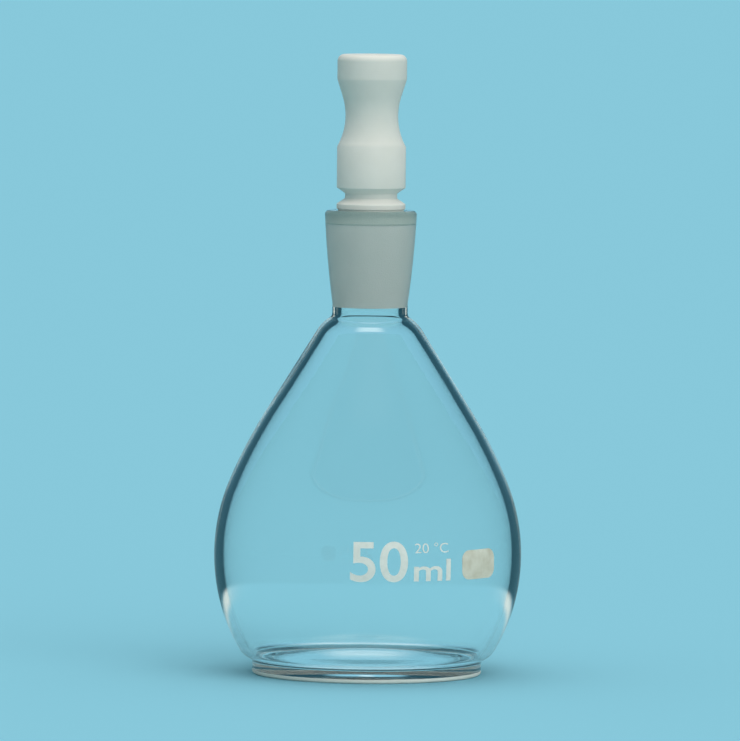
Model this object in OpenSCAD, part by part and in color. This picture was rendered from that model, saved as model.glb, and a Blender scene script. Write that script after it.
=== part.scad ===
// Pear-shaped 50 ml volumetric bottle with a ground-glass neck and a turned PTFE stopper.
// Everything is turned about Z. The bottle stands on z = 0, and each piece sits on the one below it.

/* [Bulb] */
// Widest outside diameter of the bulb
bulb_d = 46.5; // [44:0.1:49]
// Height of the widest point above the bench
belly_h = 18.1; // [16.5:0.1:20]
// Profile radius of the side below the widest point
lower_side_r = 28.8; // [27:0.1:31]
// Profile radius of the side above the widest point
upper_side_r = 28.8; // [27:0.1:31]
// Lean of the side at which it starts to ease into the flank
ease_angle = 22.4; // [18:0.1:26]
// Profile radius of that easing
ease_r = 75; // [60:1:90]
// Angle between the straight flank and the axis
flank_angle = 31.9; // [30:0.1:34]
// Outside diameter at which the flank turns into the shoulder
shoulder_d = 16; // [15.2:0.1:18]
// Profile radius of the shoulder
shoulder_r = 6.4; // [5.5:0.1:8]
// Hollow fillet between the shoulder and the neck
root_fillet_r = 0.8; // [0.6:0.1:1.2]
// Thickness of the blown wall
wall = 1.35; // [1:0.05:1.8]
// Straight stub above that fillet, up to the seal with the socket
bulb_stub = 0.2; // [0.1:0.1:2]

/* [Base] */
// How far the foot's side stands in from the bulb's widest point, on the radius
foot_inset = 5.9; // [5.3:0.1:6.4]
// Profile radius of the heel above the foot
heel_r = 3.3; // [2.4:0.1:3.6]
// Height at which the side turns into the heel
heel_h = 3.7; // [3.4:0.1:4.2]
// Hollow fillet between the heel and the foot
foot_fillet_r = 0.4; // [0.2:0.1:0.6]
// Rounding of the foot's lower edge
foot_edge_r = 0.4; // [0.3:0.1:0.8]
// Width of the ring that the bottle stands on, with that rounding
rest_w = 2.75; // [1.5:0.05:4]
// Depth at the middle of the hollow pushed up inside that ring
punt_depth = 1.3; // [0.8:0.1:2]
// Thickness of the glass above the hollow
base_t = 2.1; // [1.6:0.1:2.6]
// Inside rounding between the floor and the side
inner_heel_r = 4; // [3:0.1:5]

/* [Ground socket] */
// Diameter of the ground cone at its large end
cone_d = 10; // [9:0.1:11]
// Length of the ground zone
cone_len = 13; // [11:0.1:16]
// Length over which the cone's diameter shrinks by one millimetre
cone_taper = 10; // [8:0.5:12]
// Plain glass between the seal and the ground zone
socket_stub = 0.2; // [0.1:0.1:2]
// Height of the lip above the ground zone
lip_h = 2.15; // [1.2:0.05:3]
// How much wider than the cone the lip's bore is, on the radius
lip_relief = 0.25; // [0.15:0.05:0.4]
// Outside diameter of the neck just below the rim
rim_d = 13.9; // [13:0.1:15]
// Rounding of the rim's outer edge
rim_edge_r = 0.6; // [0.3:0.1:0.8]
// Straight stretch of the neck's outside, from the seal up
neck_straight = 1.3; // [0.6:0.1:3]
// How far the neck's outside bows out above that, up to the rim
neck_bow = 0.15; // [0.05:0.05:0.3]

/* [Stopper] */
// Air between the stopper's cone and the ground socket, on the radius
seat_gap = 0.02; // [0.01:0.01:0.05]
// How far the plug stops short of the ground zone's lower end
plug_short = 1.4; // [0.6:0.1:3]
// Gap between the stopper's ring and the rim
ring_gap = 0.15; // [0.1:0.05:0.5]
// How far the ring stands out past the cone's large end, on the radius
ring_over = 0.2; // [0.1:0.05:0.8]
// Height of the ring's straight side
ring_h = 0.8; // [0.4:0.1:1.5]
// Diameter of the groove between the ring and the collar
groove_d = 7.9; // [7:0.1:8.3]
// Height of the groove's floor
groove_h = 0.75; // [0.4:0.05:2]
// Height of each of the groove's two sloping sides
groove_slope_h = 0.85; // [0.4:0.05:1.2]
// Diameter of the collar below the grip
collar_d = 10.4; // [10:0.1:12]
// Height of the collar
collar_h = 6.2; // [4:0.1:8]
// Diameter of the grip's waist
waist_d = 7.95; // [7:0.05:8.5]
// Profile radius of the waist
waist_r = 9.5; // [8.5:0.1:12]
// Angle between the flare above the waist and the axis
flare_angle = 17.5; // [12:0.5:20]
// Diameter of the head
head_d = 10.5; // [10:0.1:12]
// Height of the head above the flare
head_h = 3.55; // [3:0.05:6]
// Rounding between the flare and the head
head_root_r = 1.5; // [0.5:0.1:3]
// Rounding of the head's top edge
head_edge_r = 1; // [0.5:0.1:1.5]
// Diameter of the capillary through the stopper
capillary_d = 1.2; // [0.8:0.1:2]
// Depth of the conical hollow in the plug's lower end
plug_hollow_h = 1.2; // [0.8:0.1:2]
// Bevel on the plug's lower edge
plug_bevel = 0.3; // [0.1:0.05:0.6]

/* [Writing patch] */
// Width of the fired patch, along the glass
patch_w = 6.9; // [5:0.1:10]
// Height of the patch
patch_h = 4.4; // [4:0.1:8]
// Corner radius of the patch
patch_corner_r = 1.4; // [0.8:0.1:1.9]
// Thickness of the fired enamel
patch_t = 0.06; // [0.05:0.01:0.15]
// Turn of the patch round the bulb, from the front
patch_turn = 46; // [0:1:90]
// Tilt of the patch on the glass
patch_tilt = 1; // [0:1:8]

/* [Hidden] */
$fn = 96;

glass_colour = [0.80, 0.90, 0.93, 0.35];
frosted_colour = [0.80, 0.85, 0.84];
ptfe_colour = [0.93, 0.93, 0.90];
enamel_colour = [0.86, 0.86, 0.78];

flat_error = 0.01; // how far a profile's flats may stand off the true arc
past = 1; // how far a cutting shape runs past what it cuts

// Points on an arc about c, from angle a0 to a1, in degrees
function arc(c, r, a0, a1) =
    let (step = 2 * acos(1 - flat_error / r), n = max(2, ceil(abs(a1 - a0) / step)))
    [for (i = [0:n]) let (a = a0 + (a1 - a0) * i / n) c + r * [cos(a), sin(a)]];

// The meeting point of two circles that lies to the right of the way from a to b
function meet(a, ra, b, rb) =
    let (d = norm(b - a), u = (b - a) / d, along = (d * d + ra * ra - rb * rb) / (2 * d))
    a + along * u + sqrt(ra * ra - along * along) * [u.y, -u.x];

// The angle in which b lies, as seen from a
function angle_to(a, b) = atan2(b.y - a.y, b.x - a.x);

// Bulb: centres of the profile's arcs, as [radius, height]
lower_c = [bulb_d / 2 - lower_side_r, belly_h];
upper_c = [bulb_d / 2 - upper_side_r, belly_h];
heel_angle = -asin((belly_h - heel_h) / lower_side_r);
heel_c = lower_c + (lower_side_r - heel_r) * [cos(heel_angle), sin(heel_angle)];
ease_c = upper_c + (upper_side_r - ease_r) * [cos(ease_angle), sin(ease_angle)];
flank_start = ease_c + ease_r * [cos(flank_angle), sin(flank_angle)];
flank_end = [
    shoulder_d / 2,
    flank_start.y + (flank_start.x - shoulder_d / 2) / tan(flank_angle)
];
shoulder_c = flank_end - shoulder_r * [cos(flank_angle), sin(flank_angle)];

// Neck: the ground cone's small end sets the bore, and the wall sets the outside
cone_small_r = cone_d / 2 - cone_len / cone_taper / 2;
neck_r = cone_small_r + wall;
root_x = neck_r + root_fillet_r;
root_c = [
    root_x,
    shoulder_c.y + sqrt(pow(shoulder_r + root_fillet_r, 2) - pow(root_x - shoulder_c.x, 2))
];
seal_h = root_c.y + bulb_stub;
cone_low_h = seal_h + socket_stub;
cone_high_h = cone_low_h + cone_len;
rim_h = cone_high_h + lip_h;

// Base: the foot's fillet, the hollow under it and the floor above that
foot_r = bulb_d / 2 - foot_inset;
foot_fillet_x = foot_r + foot_fillet_r;
foot_fillet_c = [
    foot_fillet_x,
    heel_c.y - sqrt(pow(heel_r + foot_fillet_r, 2) - pow(foot_fillet_x - heel_c.x, 2))
];
punt_edge = [foot_r - rest_w, 0];
punt_r = (pow(punt_edge.x, 2) + pow(punt_depth, 2)) / (2 * punt_depth);
punt_c = [0, punt_depth - punt_r];
floor_r = punt_r + base_t;
inner_heel_c = meet(
    punt_c, floor_r + inner_heel_r,
    lower_c, lower_side_r - wall - inner_heel_r
);

// The upper side from the widest point to the seal. The inside is the same curve, one wall further in
function upper_profile(inset) = concat(
    arc(upper_c, upper_side_r - inset, 0, ease_angle),
    arc(ease_c, ease_r - inset, ease_angle, flank_angle),
    arc(shoulder_c, shoulder_r - inset, flank_angle, angle_to(shoulder_c, root_c)),
    arc(root_c, root_fillet_r + inset, angle_to(shoulder_c, root_c) + 180, 180),
    [[neck_r - inset, seal_h]]
);

// The outside from the middle of the base to the widest point
base_outside = concat(
    arc(punt_c, punt_r, 90, angle_to(punt_c, punt_edge)),
    arc([foot_r - foot_edge_r, foot_edge_r], foot_edge_r, -90, 0),
    arc(foot_fillet_c, foot_fillet_r, 180, angle_to(foot_fillet_c, heel_c)),
    arc(heel_c, heel_r, angle_to(heel_c, foot_fillet_c), heel_angle),
    arc(lower_c, lower_side_r, heel_angle, 0)
);

// The inside from the middle of the floor to the widest point
floor_inside = concat(
    arc(punt_c, floor_r, 90, angle_to(punt_c, inner_heel_c)),
    arc(inner_heel_c, inner_heel_r, angle_to(inner_heel_c, punt_c), angle_to(lower_c, inner_heel_c)),
    arc(lower_c, lower_side_r - wall, angle_to(lower_c, inner_heel_c), 0)
);

function reversed(list) = [for (i = [len(list) - 1:-1:0]) list[i]];

// Blown bulb, from the foot up to the seal where the socket is fused on
module flask_bulb() {
    color(glass_colour)
    rotate_extrude()
    polygon(concat(
        base_outside, upper_profile(0),
        reversed(upper_profile(wall)), reversed(floor_inside)
    ));
}

// Neck with the ground cone inside, a wider lip above it and a rounded rim
module ground_socket() {
    rim_r = rim_d / 2;
    shank_low_h = seal_h + neck_straight;
    shank_h = rim_h - rim_edge_r - shank_low_h;
    bow_c = [neck_r + (rim_r - neck_r) / 2, shank_low_h + shank_h / 2];
    bow_len = norm([rim_r - neck_r, shank_h]);
    bow_r = bow_len * bow_len / (8 * neck_bow) + neck_bow / 2;
    lean = atan2(rim_r - neck_r, shank_h);
    half = asin(bow_len / 2 / bow_r);
    centre = bow_c - (bow_r - neck_bow) * [cos(lean), -sin(lean)];
    lip_r = cone_d / 2 + lip_relief;
    color(frosted_colour)
    rotate_extrude()
    polygon(concat(
        arc(centre, bow_r, -lean - half, -lean + half),
        arc([rim_r - rim_edge_r, rim_h - rim_edge_r], rim_edge_r, 0, 90),
        [
            [lip_r + lip_relief, rim_h],
            [lip_r, rim_h - lip_relief],
            [lip_r, cone_high_h + lip_relief],
            [cone_d / 2, cone_high_h],
            [cone_small_r, cone_low_h],
            [cone_small_r, seal_h],
            [neck_r, seal_h]
        ]
    ));
}

// Turned stopper: plug, ring, groove, collar, waisted grip and head, with a capillary right through
module stopper() {
    plug_low_h = cone_low_h + plug_short;
    plug_top_r = cone_d / 2 - seat_gap;
    ring_r = cone_d / 2 + ring_over;
    ring_low_h = rim_h + ring_gap;
    ring_high_h = ring_low_h + ring_h;
    groove_low_h = ring_high_h + groove_slope_h;
    groove_high_h = groove_low_h + groove_h;
    collar_low_h = groove_high_h + groove_slope_h;
    collar_high_h = collar_low_h + collar_h;
    // The plug's cone is the socket's cone, one seat gap further in
    function plug_r(h) = plug_top_r - (cone_high_h - h) / cone_taper / 2;
    waist_low_angle = acos((waist_r + waist_d / 2 - collar_d / 2) / waist_r);
    waist_c = [waist_d / 2 + waist_r, collar_high_h + waist_r * sin(waist_low_angle)];
    flare_low = waist_c + waist_r * [-cos(flare_angle), sin(flare_angle)];
    head_root_x = head_d / 2 - head_root_r;
    flare_run = head_root_x + head_root_r * cos(flare_angle) - flare_low.x;
    head_root_h = flare_low.y + flare_run / tan(flare_angle) + head_root_r * sin(flare_angle);
    head_high_h = head_root_h + head_h;
    color(ptfe_colour)
    rotate_extrude()
    polygon(concat(
        [
            [capillary_d / 2, plug_low_h + plug_hollow_h],
            [plug_r(plug_low_h) - plug_bevel, plug_low_h],
            [plug_r(plug_low_h + plug_bevel), plug_low_h + plug_bevel],
            [plug_top_r, cone_high_h],
            [plug_top_r, ring_low_h],
            [ring_r, ring_low_h],
            [ring_r, ring_high_h],
            [groove_d / 2, groove_low_h],
            [groove_d / 2, groove_high_h],
            [collar_d / 2, collar_low_h]
        ],
        arc(waist_c, waist_r, 180 + waist_low_angle, 180 - flare_angle),
        arc([head_root_x, head_root_h], head_root_r, -flare_angle, 0),
        arc([head_d / 2 - head_edge_r, head_high_h - head_edge_r], head_edge_r, 0, 90),
        [
            [capillary_d, head_high_h],
            [capillary_d / 2, head_high_h - capillary_d / 2]
        ]
    ));
}

// Rounded rectangle standing upright, facing -Y
module upright_plate(w, h, r, depth) {
    rotate([90, 0, 0])
    linear_extrude(depth)
    union() {
        square([w - 2 * r, h], center = true);
        square([w, h - 2 * r], center = true);
        for (x = [-1, 1], y = [-1, 1])
            translate([x * (w / 2 - r), y * (h / 2 - r)])
            circle(r);
    }
}

// Fired enamel patch for pencil notes, on the bulb at its widest
module writing_patch() {
    color(enamel_colour)
    rotate([0, 0, patch_turn])
    intersection() {
        rotate_extrude()
        polygon(concat(
            arc(lower_c, lower_side_r + patch_t, heel_angle, 0),
            arc(upper_c, upper_side_r + patch_t, 0, ease_angle),
            arc(upper_c, upper_side_r, ease_angle, 0),
            arc(lower_c, lower_side_r, 0, heel_angle)
        ));
        translate([0, 0, belly_h])
        rotate([0, patch_tilt, 0])
        upright_plate(patch_w, patch_h, patch_corner_r, bulb_d / 2 + past);
    }
}

flask_bulb();
ground_socket();
stopper();
writing_patch();
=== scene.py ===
import math

import bmesh
import bpy
from mathutils import Matrix, Vector


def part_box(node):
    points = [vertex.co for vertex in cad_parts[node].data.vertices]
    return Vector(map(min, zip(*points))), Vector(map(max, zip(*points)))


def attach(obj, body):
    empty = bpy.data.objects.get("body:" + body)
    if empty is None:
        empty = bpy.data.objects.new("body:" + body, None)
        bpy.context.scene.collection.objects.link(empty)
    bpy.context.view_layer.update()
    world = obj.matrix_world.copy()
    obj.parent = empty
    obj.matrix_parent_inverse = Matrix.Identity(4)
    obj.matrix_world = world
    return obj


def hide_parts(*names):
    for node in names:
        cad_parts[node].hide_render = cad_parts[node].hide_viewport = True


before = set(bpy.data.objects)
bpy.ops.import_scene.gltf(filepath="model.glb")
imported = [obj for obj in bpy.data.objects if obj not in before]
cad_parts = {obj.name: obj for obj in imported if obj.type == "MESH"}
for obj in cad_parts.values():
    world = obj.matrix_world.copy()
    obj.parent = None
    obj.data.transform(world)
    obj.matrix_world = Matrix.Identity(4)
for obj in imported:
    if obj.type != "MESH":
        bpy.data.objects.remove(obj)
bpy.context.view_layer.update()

MM = 0.001

# ---------------------------------------------------------------------------
# Places taken from the frame, in millimetres
# ---------------------------------------------------------------------------
bulb_low, bulb_high = [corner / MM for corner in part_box("flask_bulb")]
socket_low, socket_high = [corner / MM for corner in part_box("ground_socket")]
stopper_low, stopper_high = [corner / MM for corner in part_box("stopper")]

BULB_R = (bulb_high.x - bulb_low.x) / 2
SEAL_H = socket_low.z
RIM_R = (socket_high.x - socket_low.x) / 2
RIM_H = socket_high.z
PLUG_LOW_H = stopper_low.z
HEAD_TOP_H = stopper_high.z

# ---------------------------------------------------------------------------
# Sizes of the blown bulb, in millimetres and degrees
# ---------------------------------------------------------------------------
WALL = 1.35
BELLY_H = 18.1
SIDE_R = 28.8
EASE_ANGLE = 22.4
EASE_R = 75
FLANK_ANGLE = 31.9
SHOULDER_X = 8
SHOULDER_R = 6.4
ROOT_FILLET_R = 0.8
FOOT_R = BULB_R - 5.9
FOOT_FILLET_R = 0.4
FOOT_EDGE_R = 0.4
REST_W = 2.75
REST_MATT_H = 0.65
HEEL_R = 3.3
HEEL_H = 3.7
PUNT_DEPTH = 1.3
BASE_T = 2.1
INNER_HEEL_R = 4

# ---------------------------------------------------------------------------
# Sizes of the ground socket
# ---------------------------------------------------------------------------
CONE_R = 5
CONE_LEN = 13
CONE_TAPER = 10
LIP_H = 2.15
LIP_RELIEF = 0.25
RIM_EDGE_R = 0.6
NECK_STRAIGHT = 1.3
NECK_BOW = 0.15
GROUND_INSET = 0.5
CONE_SMALL_R = CONE_R - CONE_LEN / CONE_TAPER / 2
NECK_R = CONE_SMALL_R + WALL
CONE_HIGH_H = RIM_H - LIP_H
CONE_LOW_H = CONE_HIGH_H - CONE_LEN

# ---------------------------------------------------------------------------
# Sizes of the stopper
# ---------------------------------------------------------------------------
SEAT_GAP = 0.02
RING_GAP = 0.15
RING_R = CONE_R + 0.2
RING_H = 0.8
GROOVE_R = 3.95
GROOVE_H = 0.75
GROOVE_SLOPE_H = 0.85
COLLAR_R = 5.2
COLLAR_H = 6.2
WAIST_X = 3.975
WAIST_R = 9.5
FLARE_ANGLE = 17.5
HEAD_R = 5.25
HEAD_H = 3.55
HEAD_ROOT_R = 1.5
HEAD_EDGE_R = 1
CAPILLARY_R = 0.6
PLUG_HOLLOW_H = 1.2
PLUG_BEVEL = 0.3
EDGE_R = 0.15

# ---------------------------------------------------------------------------
# Sizes of the fired enamel. Left and right run round the bulb from its front,
# and BOLD and THIN move the letters' edges by a share of the type size
# ---------------------------------------------------------------------------
ENAMEL_T = 0.04
ENAMEL_BITE = 0.02
STRIP_W = 0.5
PATCH_W = 6.9
PATCH_H = 4.4
PATCH_CORNER_R = 1.4
PATCH_LEAN = 1
FIGURES_LEFT = -2.6
FIGURES_RIGHT = 6.1
FIGURES_LOW_H = 15.8
FIGURES_HIGH_H = 21.86
UNIT_LEFT = 7.05
UNIT_RIGHT = 13.1
UNIT_LOW_H = 15.89
UNIT_HIGH_H = 19.14
TEMPERATURE_LEFT = 7.2
TEMPERATURE_RIGHT = 12.7
TEMPERATURE_LOW_H = 20.1
TEMPERATURE_HIGH_H = 21.6
BOLD = 0.012
THIN = -0.008

# ---------------------------------------------------------------------------
# Fineness of the meshes, in millimetres, but TEXT_WELD as a share of the type size
# ---------------------------------------------------------------------------
SIDES = 160
LONGEST_STEP = 0.6
LARGEST_TURN = math.radians(9)
CREASE = math.radians(32)
PATCH_CORNER_STEPS = 10
FLOOR_SIDES = 96
WELD = 0.0005
TEXT_WELD = 0.0005

# ---------------------------------------------------------------------------
# Finishes
# ---------------------------------------------------------------------------
GRAIN_DETAIL = 3
GRAIN_MIDDLE = 0.5
GLASS_IOR = 1.473
GLASS_COLOUR = (0.975, 0.995, 0.99)
GROUND_DULL = (0.91, 0.965, 0.94)
GROUND_PALE = (0.96, 1, 0.985)
# Painted shade: a darker colour for the socket's lip band
LIP_PAINTED_SHADE = (0.72, 0.82, 0.78)
PTFE_IOR = 1.38
PTFE_DULL = (0.80, 0.795, 0.755)
PTFE_PALE = (0.86, 0.855, 0.82)
RINGS_PER_METRE = 5200
RINGS_DETAIL = 2
PRINT_DULL = (0.84, 0.87, 0.84)
PRINT_PALE = (0.93, 0.95, 0.92)
PATCH_DULL = (0.68, 0.64, 0.52)
PATCH_PALE = (0.88, 0.86, 0.76)


# ---------------------------------------------------------------------------
# Geometry helpers
# ---------------------------------------------------------------------------
def polar(centre, radius, angle):
    """The point at that radius and angle, in degrees, from a centre given as (radius, height)."""
    return Vector(centre) + radius * Vector((math.cos(math.radians(angle)), math.sin(math.radians(angle))))


def angle_to(centre, point):
    """The angle in degrees in which a point lies, as seen from a centre."""
    way = Vector(point) - Vector(centre)
    return math.degrees(math.atan2(way.y, way.x))


def meeting(a, a_radius, b, b_radius):
    """Where two circles meet, to the right of the way from centre a to centre b."""
    gap = (b - a).length
    way = (b - a) / gap
    ahead = (gap * gap + a_radius * a_radius - b_radius * b_radius) / (2 * gap)
    aside = math.sqrt(a_radius * a_radius - ahead * ahead)
    return a + way * ahead + Vector((way.y, -way.x)) * aside


class Outline:
    """Half a section, drawn point by point in the X-Z plane and then spun about Z."""

    def __init__(self, radius, height):
        self.mesh = bmesh.new()
        start = bmesh.ops.create_vert(self.mesh, co=(radius * MM, 0, height * MM))
        self.tip = start["vert"][0]

    def line(self, radius, height):
        """Draws a straight stretch to that radius and height."""
        self.tip = bmesh.ops.extrude_vert_indiv(self.mesh, verts=[self.tip])["verts"][0]
        self.tip.co = (radius * MM, 0, height * MM)

    def arc(self, centre, end_angle):
        """Draws on round a centre until the angle, in degrees, as seen from that centre."""
        here = Vector((self.tip.co.x, self.tip.co.z)) / MM
        turn = math.radians(end_angle - angle_to(centre, here))
        turn = (turn + math.pi) % (2 * math.pi) - math.pi
        length = abs(turn) * (here - Vector(centre)).length
        drawn = bmesh.ops.spin(
            self.mesh,
            geom=[self.tip],
            cent=(centre[0] * MM, 0, centre[1] * MM),
            axis=(0, -1, 0),
            angle=turn,
            steps=max(2, math.ceil(length / LONGEST_STEP), math.ceil(abs(turn) / LARGEST_TURN)),
        )
        self.tip = drawn["geom_last"][0]

    def rounded(self, corner, beyond, radius):
        """Draws to a corner and rounds it towards the next point, both given as (radius, height)."""
        corner = Vector(corner)
        arriving = (corner - Vector((self.tip.co.x, self.tip.co.z)) / MM).normalized()
        leaving = (Vector(beyond) - corner).normalized()
        turn = -arriving.angle_signed(leaving)
        start = corner - arriving * radius * math.tan(abs(turn) / 2)
        centre = start + math.copysign(radius, turn) * Vector((-arriving.y, arriving.x))
        self.line(*start)
        self.arc(centre, angle_to(centre, start) + math.degrees(turn))

    def turned(self):
        """The outline spun into a closed solid, with its poles closed and its normals outwards."""
        bmesh.ops.spin(
            self.mesh,
            geom=self.mesh.verts[:] + self.mesh.edges[:],
            axis=(0, 0, 1),
            cent=(0, 0, 0),
            angle=2 * math.pi,
            steps=SIDES,
            use_merge=True,
        )
        bmesh.ops.remove_doubles(self.mesh, verts=self.mesh.verts[:], dist=WELD * MM)
        bmesh.ops.recalc_face_normals(self.mesh, faces=self.mesh.faces[:])
        return self.mesh


def finished(name, mesh, materials):
    """An object from a bmesh, smooth apart from its real edges."""
    for face in mesh.faces:
        face.smooth = True
    for edge in mesh.edges:
        edge.smooth = edge.calc_face_angle(0) < CREASE
    data = bpy.data.meshes.new(name)
    mesh.to_mesh(data)
    mesh.free()
    for material in materials:
        data.materials.append(material)
    piece = bpy.data.objects.new(name, data)
    bpy.context.scene.collection.objects.link(piece)
    return piece


# ---------------------------------------------------------------------------
# Material helpers
# ---------------------------------------------------------------------------
def maths(tree, operation, *values):
    """One Math node: each value is a number or an output to link."""
    node = tree.nodes.new("ShaderNodeMath")
    node.operation = operation
    for socket, value in zip(node.inputs, values):
        if isinstance(value, (int, float)):
            socket.default_value = value
        else:
            tree.links.new(value, socket)
    return node.outputs[0]


def grain_group():
    """A node group for fine surface grain: a mask from 0 to 1 that several finishes vary by."""
    group = bpy.data.node_groups.new("surface grain", "ShaderNodeTree")
    for name, kind in (("Vector", "Vector"), ("Grain per metre", "Float"), ("Contrast", "Float")):
        group.interface.new_socket(name, in_out="INPUT", socket_type="NodeSocket" + kind)
    group.interface.new_socket("Mask", in_out="OUTPUT", socket_type="NodeSocketFloat")
    start = group.nodes.new("NodeGroupInput")
    noise = group.nodes.new("ShaderNodeTexNoise")
    noise.inputs["Detail"].default_value = GRAIN_DETAIL
    group.links.new(start.outputs["Vector"], noise.inputs["Vector"])
    group.links.new(start.outputs["Grain per metre"], noise.inputs["Scale"])
    centred = maths(group, "SUBTRACT", noise.outputs["Fac"], GRAIN_MIDDLE)
    mask = maths(group, "MULTIPLY_ADD", centred, start.outputs["Contrast"], GRAIN_MIDDLE)
    mask.node.use_clamp = True
    end = group.nodes.new("NodeGroupOutput")
    group.links.new(mask, end.inputs["Mask"])
    return group


GRAIN = grain_group()


def new_material(name):
    """A node material, its tree and its Principled shader."""
    material = bpy.data.materials.new(name)
    material.use_nodes = True
    return material, material.node_tree, material.node_tree.nodes["Principled BSDF"]


def object_place(tree):
    """The Object coordinates in one material."""
    return tree.nodes.new("ShaderNodeTexCoord").outputs["Object"]


def split_axes(tree, place):
    """A place split into its X, Y and Z."""
    split = tree.nodes.new("ShaderNodeSeparateXYZ")
    tree.links.new(place, split.inputs["Vector"])
    return split.outputs


def from_axis(tree, place):
    """How far a place is from the upright axis."""
    flat = tree.nodes.new("ShaderNodeVectorMath")
    flat.operation = "MULTIPLY"
    flat.inputs[1].default_value = (1, 1, 0)
    length = tree.nodes.new("ShaderNodeVectorMath")
    length.operation = "LENGTH"
    tree.links.new(place, flat.inputs[0])
    tree.links.new(flat.outputs["Vector"], length.inputs[0])
    return length.outputs["Value"]


def grain(tree, per_metre, contrast):
    """The grain's mask in one material, on its Object coordinates."""
    node = tree.nodes.new("ShaderNodeGroup")
    node.node_tree = GRAIN
    node.inputs["Grain per metre"].default_value = per_metre
    node.inputs["Contrast"].default_value = contrast
    tree.links.new(object_place(tree), node.inputs["Vector"])
    return node.outputs["Mask"]


def blend(tree, mask, first, second, kind="MIX"):
    """A colour that runs from first to second with the mask, where each is a colour or an output."""
    mix = tree.nodes.new("ShaderNodeMix")
    mix.data_type = "RGBA"
    mix.blend_type = kind
    for socket, value in zip((mix.inputs["A"], mix.inputs["B"]), (first, second)):
        if isinstance(value, tuple):
            socket.default_value = (*value, 1)
        else:
            tree.links.new(value, socket)
    tree.links.new(mask, mix.inputs["Factor"])
    return mix.outputs["Result"]


def between(tree, mask, low, high):
    """A number that runs from low to high with the mask."""
    spread = tree.nodes.new("ShaderNodeMapRange")
    spread.inputs["To Min"].default_value = low
    spread.inputs["To Max"].default_value = high
    tree.links.new(mask, spread.inputs["Value"])
    return spread.outputs["Result"]


def bumped(tree, height, distance):
    """A normal from a height map whose full range stands that many metres high."""
    bump = tree.nodes.new("ShaderNodeBump")
    bump.inputs["Distance"].default_value = distance
    tree.links.new(height, bump.inputs["Height"])
    return bump.outputs["Normal"]


def along(tree, direction, axis):
    """How far a direction points along an axis, from -1 to 1."""
    dot = tree.nodes.new("ShaderNodeVectorMath")
    dot.operation = "DOT_PRODUCT"
    dot.inputs[1].default_value = axis
    tree.links.new(direction, dot.inputs[0])
    return dot.outputs["Value"]


def eased(tree, value, start, end):
    """0 before start and 1 after end, with a soft step between them."""
    step = tree.nodes.new("ShaderNodeMapRange")
    step.interpolation_type = "SMOOTHSTEP"
    step.inputs["From Min"].default_value = start
    step.inputs["From Max"].default_value = end
    tree.links.new(value, step.inputs["Value"])
    return step.outputs["Result"]


# ---------------------------------------------------------------------------
# Materials
# ---------------------------------------------------------------------------
def clear_glass():
    """Borosilicate glass with the faint waviness of hand blowing."""
    material, tree, shader = new_material("clear borosilicate glass")
    shader.inputs["Base Color"].default_value = (*GLASS_COLOUR, 1)
    shader.inputs["Transmission Weight"].default_value = 1
    shader.inputs["IOR"].default_value = GLASS_IOR
    haze = grain(tree, per_metre=260, contrast=1.4)
    waves = grain(tree, per_metre=42, contrast=1)
    tree.links.new(between(tree, haze, low=0, high=0.02), shader.inputs["Roughness"])
    tree.links.new(bumped(tree, waves, distance=0.04 * MM), shader.inputs["Normal"])
    return material


def ground_glass():
    """Glass ground or worn matt, as in the socket's cone. Its lip is painted a little darker, as painted
    shade.
    """
    material, tree, shader = new_material("ground glass")
    shader.inputs["Transmission Weight"].default_value = 0.08
    shader.inputs["Specular IOR Level"].default_value = 0
    shader.inputs["IOR"].default_value = GLASS_IOR
    pits = grain(tree, per_metre=5200, contrast=2.2)
    patches = grain(tree, per_metre=420, contrast=1.5)
    height = split_axes(tree, object_place(tree))["Z"]
    lip = eased(tree, height, CONE_HIGH_H * MM, (CONE_HIGH_H + LIP_RELIEF) * MM)
    ground = blend(tree, patches, GROUND_DULL, GROUND_PALE)
    # Painted shade: the band at the lip is blended to a darker colour
    tree.links.new(blend(tree, lip, ground, LIP_PAINTED_SHADE), shader.inputs["Base Color"])
    tree.links.new(between(tree, pits, low=0.45, high=0.7), shader.inputs["Roughness"])
    tree.links.new(bumped(tree, pits, distance=0.02 * MM), shader.inputs["Normal"])
    return material


def turned_ptfe():
    """White PTFE off the lathe: waxy, with faint turning rings."""
    material, tree, shader = new_material("turned white PTFE")
    place = object_place(tree)
    height = split_axes(tree, place)["Z"]
    rings = tree.nodes.new("ShaderNodeTexNoise")
    rings.noise_dimensions = "1D"
    rings.inputs["Scale"].default_value = RINGS_PER_METRE
    rings.inputs["Detail"].default_value = RINGS_DETAIL
    tree.links.new(maths(tree, "ADD", from_axis(tree, place), height), rings.inputs["W"])
    clouds = grain(tree, per_metre=240, contrast=1.6)
    tree.links.new(blend(tree, clouds, PTFE_DULL, PTFE_PALE), shader.inputs["Base Color"])
    tree.links.new(between(tree, rings.outputs["Fac"], low=0.34, high=0.52), shader.inputs["Roughness"])
    tree.links.new(bumped(tree, rings.outputs["Fac"], distance=0.006 * MM), shader.inputs["Normal"])
    shader.inputs["IOR"].default_value = PTFE_IOR
    shader.inputs["Subsurface Weight"].default_value = 0.25
    shader.inputs["Subsurface Radius"].default_value = (1, 1, 0.9)
    shader.inputs["Subsurface Scale"].default_value = 0.6 * MM
    return material


def fired_enamel(name, dull, pale, mottle_per_metre):
    """Matt white enamel, fired on, a little uneven in how it covers."""
    material, tree, shader = new_material(name)
    mottle = grain(tree, mottle_per_metre, contrast=2.4)
    dust = grain(tree, per_metre=6500, contrast=1.8)
    tree.links.new(blend(tree, mottle, dull, pale), shader.inputs["Base Color"])
    tree.links.new(between(tree, dust, low=0.5, high=0.72), shader.inputs["Roughness"])
    tree.links.new(bumped(tree, dust, distance=0.01 * MM), shader.inputs["Normal"])
    return material


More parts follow.
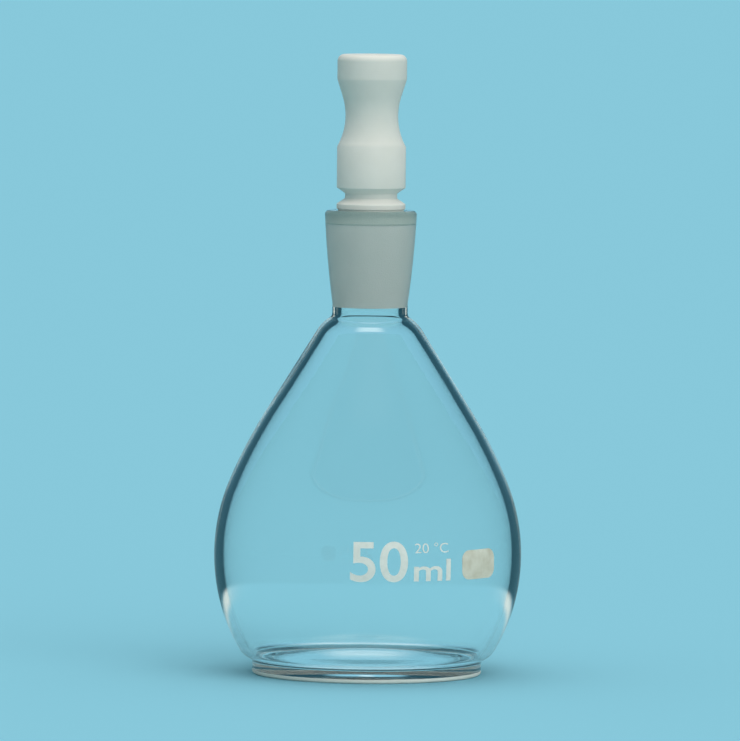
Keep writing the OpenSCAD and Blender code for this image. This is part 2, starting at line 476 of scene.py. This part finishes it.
# ---------------------------------------------------------------------------
# Glass bottle: the bulb and its socket as one fused wall
# ---------------------------------------------------------------------------
def bottle_centres():
    """The centres of the arcs in the bulb's section, as (radius, height) in millimetres."""
    side = Vector((BULB_R - SIDE_R, BELLY_H))
    heel_angle = -math.degrees(math.asin((BELLY_H - HEEL_H) / SIDE_R))
    heel = polar(side, SIDE_R - HEEL_R, heel_angle)
    ease = polar(side, SIDE_R - EASE_R, EASE_ANGLE)
    flank_start = polar(ease, EASE_R, FLANK_ANGLE)
    rise = (flank_start.x - SHOULDER_X) / math.tan(math.radians(FLANK_ANGLE))
    shoulder = polar((SHOULDER_X, flank_start.y + rise), -SHOULDER_R, FLANK_ANGLE)
    root_x = NECK_R + ROOT_FILLET_R
    reach = SHOULDER_R + ROOT_FILLET_R
    root = Vector((root_x, shoulder.y + math.sqrt(reach ** 2 - (root_x - shoulder.x) ** 2)))
    foot_x = FOOT_R + FOOT_FILLET_R
    drop = math.sqrt((HEEL_R + FOOT_FILLET_R) ** 2 - (foot_x - heel.x) ** 2)
    foot = Vector((foot_x, heel.y - drop))
    edge_x = FOOT_R - REST_W
    punt_r = (edge_x ** 2 + PUNT_DEPTH ** 2) / (2 * PUNT_DEPTH)
    punt = Vector((0, PUNT_DEPTH - punt_r))
    inner_heel = meeting(punt, punt_r + BASE_T + INNER_HEEL_R, side, SIDE_R - WALL - INNER_HEEL_R)
    return {
        "side": side, "heel": heel, "ease": ease, "shoulder": shoulder, "root": root,
        "foot": foot, "punt": punt, "inner heel": inner_heel, "heel angle": heel_angle,
    }


def draw_outside(outline, at):
    """The outside, from the middle of the base up to the rim."""
    outline.arc(at["punt"], angle_to(at["punt"], (FOOT_R - REST_W, 0)))
    outline.line(FOOT_R - FOOT_EDGE_R, 0)
    outline.arc((FOOT_R - FOOT_EDGE_R, FOOT_EDGE_R), 0)
    outline.line(FOOT_R, REST_MATT_H)
    outline.line(FOOT_R, at["foot"].y)
    outline.arc(at["foot"], angle_to(at["foot"], at["heel"]))
    outline.arc(at["heel"], at["heel angle"])
    outline.arc(at["side"], EASE_ANGLE)
    outline.arc(at["ease"], FLANK_ANGLE)
    outline.line(*polar(at["shoulder"], SHOULDER_R, FLANK_ANGLE))
    outline.arc(at["shoulder"], angle_to(at["shoulder"], at["root"]))
    outline.arc(at["root"], 180)
    shank_low = Vector((NECK_R, SEAL_H + NECK_STRAIGHT))
    outline.line(*shank_low)
    shank = Vector((RIM_R, RIM_H - RIM_EDGE_R)) - shank_low
    bow_r = shank.length_squared / (8 * NECK_BOW) + NECK_BOW / 2
    lean = math.degrees(math.atan2(shank.x, shank.y))
    half = math.degrees(math.asin(shank.length / 2 / bow_r))
    outline.arc(polar(shank_low + shank / 2, NECK_BOW - bow_r, -lean), half - lean)
    outline.arc((RIM_R - RIM_EDGE_R, RIM_H - RIM_EDGE_R), 90)


def draw_inside(outline, at):
    """The inside, from the rim down to the middle of the floor."""
    lip_r = CONE_R + LIP_RELIEF
    outline.line(lip_r + LIP_RELIEF, RIM_H)
    outline.line(lip_r, RIM_H - LIP_RELIEF)
    outline.line(lip_r, CONE_HIGH_H + LIP_RELIEF)
    outline.line(CONE_R, CONE_HIGH_H)
    outline.line(CONE_SMALL_R + GROUND_INSET / CONE_TAPER / 2, CONE_LOW_H + GROUND_INSET)
    outline.line(CONE_SMALL_R, CONE_LOW_H)
    outline.line(CONE_SMALL_R, at["root"].y)
    outline.arc(at["root"], angle_to(at["shoulder"], at["root"]) + 180)
    outline.arc(at["shoulder"], FLANK_ANGLE)
    outline.line(*polar(at["ease"], EASE_R - WALL, FLANK_ANGLE))
    outline.arc(at["ease"], EASE_ANGLE)
    outline.arc(at["side"], angle_to(at["side"], at["inner heel"]))
    outline.arc(at["inner heel"], angle_to(at["inner heel"], at["punt"]))
    outline.arc(at["punt"], 90)


def glass_bottle():
    """The whole glass, clear but for its socket, ground matt inside, and the worn edge it rests on."""
    at = bottle_centres()
    outline = Outline(0, PUNT_DEPTH)
    draw_outside(outline, at)
    draw_inside(outline, at)
    mesh = outline.turned()
    for face in mesh.faces:
        middle = face.calc_center_median() / MM
        radius = middle.xy.length
        ground = radius < CONE_R + LIP_RELIEF and CONE_LOW_H + GROUND_INSET < middle.z < RIM_H - LIP_RELIEF
        worn = radius > FOOT_R - FOOT_EDGE_R and middle.z < REST_MATT_H
        face.material_index = int(ground or worn)
    piece = finished("glass_bottle", mesh, [clear_glass(), ground_glass()])
    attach(piece, "flask")
    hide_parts("flask_bulb", "ground_socket")


# ---------------------------------------------------------------------------
# Stopper
# ---------------------------------------------------------------------------
def turned_stopper():
    """The stopper with true arcs at its waist and head, and a capillary from end to end."""
    plug_top_r = CONE_R - SEAT_GAP
    ring_low_h = RIM_H + RING_GAP
    ring_high_h = ring_low_h + RING_H
    groove_low_h = ring_high_h + GROOVE_SLOPE_H
    groove_high_h = groove_low_h + GROOVE_H
    collar_low_h = groove_high_h + GROOVE_SLOPE_H
    collar_high_h = collar_low_h + COLLAR_H
    bevelled_h = PLUG_LOW_H + PLUG_BEVEL
    low_angle = math.acos((WAIST_R + WAIST_X - COLLAR_R) / WAIST_R)
    waist = Vector((WAIST_X + WAIST_R, collar_high_h + WAIST_R * math.sin(low_angle)))
    head_root = Vector((HEAD_R - HEAD_ROOT_R, HEAD_TOP_H - HEAD_H))

    def plug_r(height):
        """The plug's radius, which follows the socket's cone one seat gap further in."""
        return plug_top_r - (CONE_HIGH_H - height) / CONE_TAPER / 2

    outline = Outline(CAPILLARY_R, PLUG_LOW_H + PLUG_HOLLOW_H)
    outline.line(plug_r(PLUG_LOW_H) - PLUG_BEVEL, PLUG_LOW_H)
    outline.line(plug_r(bevelled_h), bevelled_h)
    outline.line(plug_top_r, CONE_HIGH_H)
    outline.line(plug_top_r, ring_low_h)
    corners = [
        (RING_R, ring_low_h), (RING_R, ring_high_h),
        (GROOVE_R, groove_low_h), (GROOVE_R, groove_high_h),
        (COLLAR_R, collar_low_h), (COLLAR_R, collar_high_h),
    ]
    for corner, beyond in zip(corners, corners[1:]):
        outline.rounded(corner, beyond, EDGE_R)
    outline.line(COLLAR_R, collar_high_h)
    outline.arc(waist, 180 - FLARE_ANGLE)
    outline.line(*polar(head_root, HEAD_ROOT_R, -FLARE_ANGLE))
    outline.arc(head_root, 0)
    outline.line(HEAD_R, HEAD_TOP_H - HEAD_EDGE_R)
    outline.arc((HEAD_R - HEAD_EDGE_R, HEAD_TOP_H - HEAD_EDGE_R), 90)
    outline.line(2 * CAPILLARY_R, HEAD_TOP_H)
    outline.line(CAPILLARY_R, HEAD_TOP_H - CAPILLARY_R)
    outline.line(CAPILLARY_R, PLUG_LOW_H + PLUG_HOLLOW_H)
    piece = finished("turned_stopper", outline.turned(), [turned_ptfe()])
    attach(piece, "stopper")
    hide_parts("stopper")


# ---------------------------------------------------------------------------
# Fired enamel
# ---------------------------------------------------------------------------
def side_radius(height):
    """The bulb's outside radius at a height near the belly."""
    return BULB_R - SIDE_R + math.sqrt(SIDE_R ** 2 - (height - BELLY_H) ** 2)


def wrapped(mesh):
    """Cuts a flat shape into strips and lays it round the bulb: x runs round, y up, in millimetres."""
    for axis in (Vector((1, 0, 0)), Vector((0, 1, 0))):
        reach = [vert.co.dot(axis) for vert in mesh.verts]
        for cut in range(1, math.ceil((max(reach) - min(reach)) / STRIP_W)):
            everything = mesh.verts[:] + mesh.edges[:] + mesh.faces[:]
            line = axis * (min(reach) + cut * STRIP_W)
            bmesh.ops.bisect_plane(mesh, geom=everything, plane_co=line, plane_no=axis)
    for vert in mesh.verts:
        radius = side_radius(vert.co.y) - ENAMEL_BITE
        angle = vert.co.x / BULB_R
        vert.co = Vector((radius * math.sin(angle), -radius * math.cos(angle), vert.co.y)) * MM
    bmesh.ops.recalc_face_normals(mesh, faces=mesh.faces[:])
    outward = sum(face.normal.dot(face.calc_center_median().xy.to_3d()) for face in mesh.faces)
    if outward < 0:
        bmesh.ops.reverse_faces(mesh, faces=mesh.faces[:])
    raised = bmesh.ops.extrude_face_region(mesh, geom=mesh.faces[:], use_keep_orig=True)["geom"]
    top = [item for item in raised if isinstance(item, bmesh.types.BMVert)]
    for vert in top:
        outwards = vert.co.xy.to_3d().normalized()
        vert.co += outwards * (ENAMEL_T + ENAMEL_BITE) * MM
    bmesh.ops.recalc_face_normals(mesh, faces=mesh.faces[:])
    return mesh


def printed(name, words, across, up, weight, material):
    """Plain figures or letters fitted between two places round the bulb, and between two heights."""
    text = bpy.data.curves.new(name, "FONT")
    text.body = words
    text.offset = weight
    flat = bpy.data.objects.new(name, text)
    bpy.context.scene.collection.objects.link(flat)
    bpy.context.view_layer.update()
    outlined = bpy.data.meshes.new_from_object(flat)
    bpy.data.objects.remove(flat)
    mesh = bmesh.new()
    mesh.from_mesh(outlined)
    bpy.data.meshes.remove(outlined)
    bmesh.ops.remove_doubles(mesh, verts=mesh.verts[:], dist=TEXT_WELD)
    xs = [vert.co.x for vert in mesh.verts]
    ys = [vert.co.y for vert in mesh.verts]
    wider = (across[1] - across[0]) / (max(xs) - min(xs))
    taller = (up[1] - up[0]) / (max(ys) - min(ys))
    bmesh.ops.translate(mesh, verts=mesh.verts[:], vec=(-min(xs), -min(ys), 0))
    bmesh.ops.scale(mesh, verts=mesh.verts[:], vec=(wider, taller, 1))
    bmesh.ops.translate(mesh, verts=mesh.verts[:], vec=(across[0], up[0], 0))
    piece = finished(name, wrapped(mesh), [material])
    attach(piece, "flask")


def note_patch():
    """The off-white patch for pencil notes, a rounded square that follows the bulb."""
    low, high = [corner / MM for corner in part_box("writing_patch")]
    lean = Matrix.Rotation(math.radians(PATCH_LEAN), 3, "Z")
    middle = math.atan2((low.x + high.x) / 2, -(low.y + high.y) / 2) * BULB_R
    mesh = bmesh.new()
    bmesh.ops.create_grid(mesh, x_segments=1, y_segments=1, size=0.5)
    bmesh.ops.scale(mesh, verts=mesh.verts[:], vec=(PATCH_W, PATCH_H, 1))
    bmesh.ops.bevel(
        mesh, geom=mesh.verts[:], offset=PATCH_CORNER_R, offset_type="OFFSET", affect="VERTICES",
        segments=PATCH_CORNER_STEPS, profile=0.5, material=-1,
    )
    bmesh.ops.rotate(mesh, verts=mesh.verts[:], matrix=lean)
    bmesh.ops.translate(mesh, verts=mesh.verts[:], vec=(middle, (low.z + high.z) / 2, 0))
    material = fired_enamel("off-white patch enamel", PATCH_DULL, PATCH_PALE, mottle_per_metre=560)
    piece = finished("note_patch", wrapped(mesh), [material])
    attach(piece, "flask")
    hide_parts("writing_patch")


def enamel_marks():
    """The capacity in plain figures, its unit and the temperature it holds at."""
    white = fired_enamel("white print enamel", PRINT_DULL, PRINT_PALE, mottle_per_metre=1400)
    across, up = (FIGURES_LEFT, FIGURES_RIGHT), (FIGURES_LOW_H, FIGURES_HIGH_H)
    printed("capacity_figures", "50", across, up, BOLD, white)
    across, up = (UNIT_LEFT, UNIT_RIGHT), (UNIT_LOW_H, UNIT_HIGH_H)
    printed("unit_letters", "ml", across, up, BOLD, white)
    across, up = (TEMPERATURE_LEFT, TEMPERATURE_RIGHT), (TEMPERATURE_LOW_H, TEMPERATURE_HIGH_H)
    printed("temperature_figures", "20 °C", across, up, THIN, white)


# ---------------------------------------------------------------------------
# Studio: floor, surroundings and camera, in metres, degrees and cosines.
# Glass edges get painted reflections: a painted glint on the floor near by, and
# painted dark on the floor further off and on the sky, apart from lit strips
# straight behind. The sky's own light begins at the ceiling
# ---------------------------------------------------------------------------
FLOOR_COLOUR = (0.26, 0.60, 0.76)
FLOOR_BOUNCE = (0.26, 0.46, 0.50)
FLOOR_R = 12
FLOOR_H = -0.02 * MM
# Painted reflection: the dark that glass edges mirror from the far floor and the sky
PAINTED_DARK_REFLECTION = (0.013, 0.060, 0.088)
DARK_FROM_R = 0.07
DARK_FULL_R = 0.085
LIT_STRIP_FROM = 0.9975
LIT_STRIP_TO = 0.985
OUTSIDE_SHARE = 0.65
ANY_DEPTH = 0.5
ONE_WALL_DEPTH = 3.5
# Painted glint: the pale colour that glass edges mirror from the floor near by
GLINT_COLOUR = (0.86, 0.90, 0.86)
GLINT_FROM_R = 0.048
GLINT_FULL_R = 0.06
SKY_STRIP_FROM = 0.99
SKY_STRIP_TO = 0.96
CEILING_FROM = 0.95
CEILING_TO = 0.8
HORIZON_LIGHT = (0.04, 0.11, 0.13)
ZENITH_LIGHT = (1.45, 1.45, 1.38)
KEY_LIGHT = (1.65, 1.56, 1.45)
KEY_FACING = (0.5, -0.9, 0.62)
KEY_SPREAD = 0.75
WINDOW_LIGHT = (0.62, 0.92, 1.04)
WINDOW_FACING = (0, 1, 0.14)
WINDOW_HALF_W = 0.035
WINDOW_HALF_H = 0.07
WINDOW_EDGE = 0.02
LEAST_AHEAD = 0.001
CAMERA_DISTANCE = 1.34
CAMERA_ELEVATION = 3.54
CAMERA_LENS = 430.3
CAMERA_SENSOR_W = 36
CAMERA_NEAR = 0.05
CAMERA_FAR = 10
CAMERA_ROLL = 0.55
AIM = Vector((0.09, 0, 45.95)) * MM


def seen_mask(tree, *kinds):
    """1 for the rays of those kinds that no matt surface has scattered, by Light Path's names."""
    path = tree.nodes.new("ShaderNodeLightPath")
    found = path.outputs[kinds[0]]
    for kind in kinds[1:]:
        found = maths(tree, "MAXIMUM", found, path.outputs[kind])
    unscattered = maths(tree, "LESS_THAN", path.outputs["Diffuse Depth"], ANY_DEPTH)
    return maths(tree, "MULTIPLY", found, unscattered)


def scattered_mask(tree):
    """1 for a ray that comes by way of a matt surface, and so brings it light."""
    path = tree.nodes.new("ShaderNodeLightPath")
    return maths(tree, "GREATER_THAN", path.outputs["Diffuse Depth"], ANY_DEPTH)


def mirrored_mask(tree, outside=0):
    """1 for a ray mirrored inside a glass wall, as along its edges, and outside for one mirrored off it."""
    path = tree.nodes.new("ShaderNodeLightPath")
    turned_back = maths(tree, "GREATER_THAN", path.outputs["Glossy Depth"], ANY_DEPTH)
    entered = maths(tree, "GREATER_THAN", path.outputs["Transmission Depth"], ANY_DEPTH)
    one_wall = maths(tree, "LESS_THAN", path.outputs["Transmission Depth"], ONE_WALL_DEPTH)
    leaving = seen_mask(tree, "Is Glossy Ray", "Is Transmission Ray")
    strength = maths(tree, "MULTIPLY_ADD", entered, 1 - outside, outside)
    inside = maths(tree, "MULTIPLY", strength, one_wall)
    return maths(tree, "MULTIPLY", leaving, maths(tree, "MULTIPLY", turned_back, inside))


def pale_floor():
    """A wide plain floor. For glass edges its colour is painted: a pale glint near by and dark further off,
    painted reflections.
    """
    mesh = bmesh.new()
    bmesh.ops.create_circle(mesh, cap_ends=True, segments=FLOOR_SIDES, radius=FLOOR_R)
    bmesh.ops.translate(mesh, verts=mesh.verts[:], vec=(0, 0, FLOOR_H))
    material, tree, shader = new_material("pale seamless floor")
    shader.inputs["Roughness"].default_value = 0.9
    shader.inputs["Specular IOR Level"].default_value = 0
    place = object_place(tree)
    away = from_axis(tree, place)
    back = split_axes(tree, place)["Y"]
    behind = eased(tree, back, 0, GLINT_FROM_R)
    near = maths(tree, "MULTIPLY", eased(tree, away, GLINT_FROM_R, GLINT_FULL_R), behind)
    straight = maths(tree, "DIVIDE", back, maths(tree, "MAXIMUM", away, MM))
    beside = eased(tree, straight, LIT_STRIP_FROM, LIT_STRIP_TO)
    far = maths(tree, "MULTIPLY", eased(tree, away, DARK_FROM_R, DARK_FULL_R), beside)
    # Painted glint: the floor near by and behind turns pale for rays mirrored in a glass wall
    glint = maths(tree, "MULTIPLY", near, mirrored_mask(tree))
    # Painted reflection: the far floor turns dark for rays mirrored in a glass wall
    dark = maths(tree, "MULTIPLY", far, mirrored_mask(tree, OUTSIDE_SHARE))
    colour = blend(tree, scattered_mask(tree), FLOOR_COLOUR, FLOOR_BOUNCE)
    colour = blend(tree, glint, colour, GLINT_COLOUR)
    colour = blend(tree, dark, colour, PAINTED_DARK_REFLECTION)
    tree.links.new(colour, shader.inputs["Base Color"])
    finished("floor", mesh, [material])


def soft_box(tree, direction, facing, half_width, half_height, edge):
    """A mask for an upright rectangle of light, centred in the direction of facing."""
    facing = Vector(facing).normalized()
    across = facing.cross(Vector((0, 0, 1))).normalized()
    upward = across.cross(facing)
    ahead = maths(tree, "MAXIMUM", along(tree, direction, facing), LEAST_AHEAD)

    def within(axis, half):
        aside = maths(tree, "ABSOLUTE", maths(tree, "DIVIDE", along(tree, direction, axis), ahead))
        return eased(tree, aside, half + edge, half - edge)

    return maths(tree, "MULTIPLY", within(across, half_width), within(upward, half_height))


def studio_world():
    """Soft light from above and in front, with the floor's colour round the horizon."""
    world = bpy.data.worlds.new("studio")
    bpy.context.scene.world = world
    world.use_nodes = True
    tree = world.node_tree
    direction = tree.nodes.new("ShaderNodeTexCoord").outputs["Generated"]
    rise = maths(tree, "MAXIMUM", along(tree, direction, (0, 0, 1)), 0)
    dome = blend(tree, maths(tree, "MULTIPLY", rise, rise), HORIZON_LIGHT, ZENITH_LIGHT)
    key = eased(tree, along(tree, direction, Vector(KEY_FACING).normalized()), KEY_SPREAD, 1)
    light = blend(tree, key, dome, KEY_LIGHT, "ADD")

    seen = seen_mask(tree, "Is Camera Ray", "Is Glossy Ray", "Is Transmission Ray")
    low = eased(tree, rise, CEILING_FROM, CEILING_TO)
    colour = blend(tree, maths(tree, "MULTIPLY", seen, low), light, FLOOR_COLOUR)
    aside = eased(tree, along(tree, direction, (0, 1, 0)), SKY_STRIP_FROM, SKY_STRIP_TO)
    # Painted reflection: rays mirrored in a glass wall see the sky dark, but for a strip straight behind
    mirrored = maths(tree, "MULTIPLY", mirrored_mask(tree, OUTSIDE_SHARE), aside)
    colour = blend(tree, mirrored, colour, PAINTED_DARK_REFLECTION)
    window = soft_box(tree, direction, WINDOW_FACING, WINDOW_HALF_W, WINDOW_HALF_H, WINDOW_EDGE)
    window = maths(tree, "MULTIPLY", window, seen_mask(tree, "Is Glossy Ray", "Is Transmission Ray"))
    colour = blend(tree, window, colour, WINDOW_LIGHT)
    tree.links.new(colour, tree.nodes["Background"].inputs["Color"])


def studio_camera():
    """A long lens at a low angle in front."""
    data = bpy.data.cameras.new("camera")
    data.lens = CAMERA_LENS
    data.sensor_width = CAMERA_SENSOR_W
    data.clip_start = CAMERA_NEAR
    data.clip_end = CAMERA_FAR
    camera = bpy.data.objects.new("camera", data)
    bpy.context.scene.collection.objects.link(camera)
    rise = math.radians(CAMERA_ELEVATION)
    towards = Vector((0, -math.cos(rise), math.sin(rise)))
    turn = (-towards).to_track_quat("-Z", "Y").to_matrix().to_4x4()
    roll = Matrix.Rotation(math.radians(CAMERA_ROLL), 4, "Z")
    place = Matrix.Translation(AIM + towards * CAMERA_DISTANCE)
    camera.matrix_world = place @ turn @ roll
    bpy.context.scene.camera = camera


def studio():
    """The camera, the floor and the light."""
    bpy.context.scene.view_settings.view_transform = "Standard"
    studio_camera()
    pale_floor()
    studio_world()


studio()
glass_bottle()
turned_stopper()
note_patch()
enamel_marks()
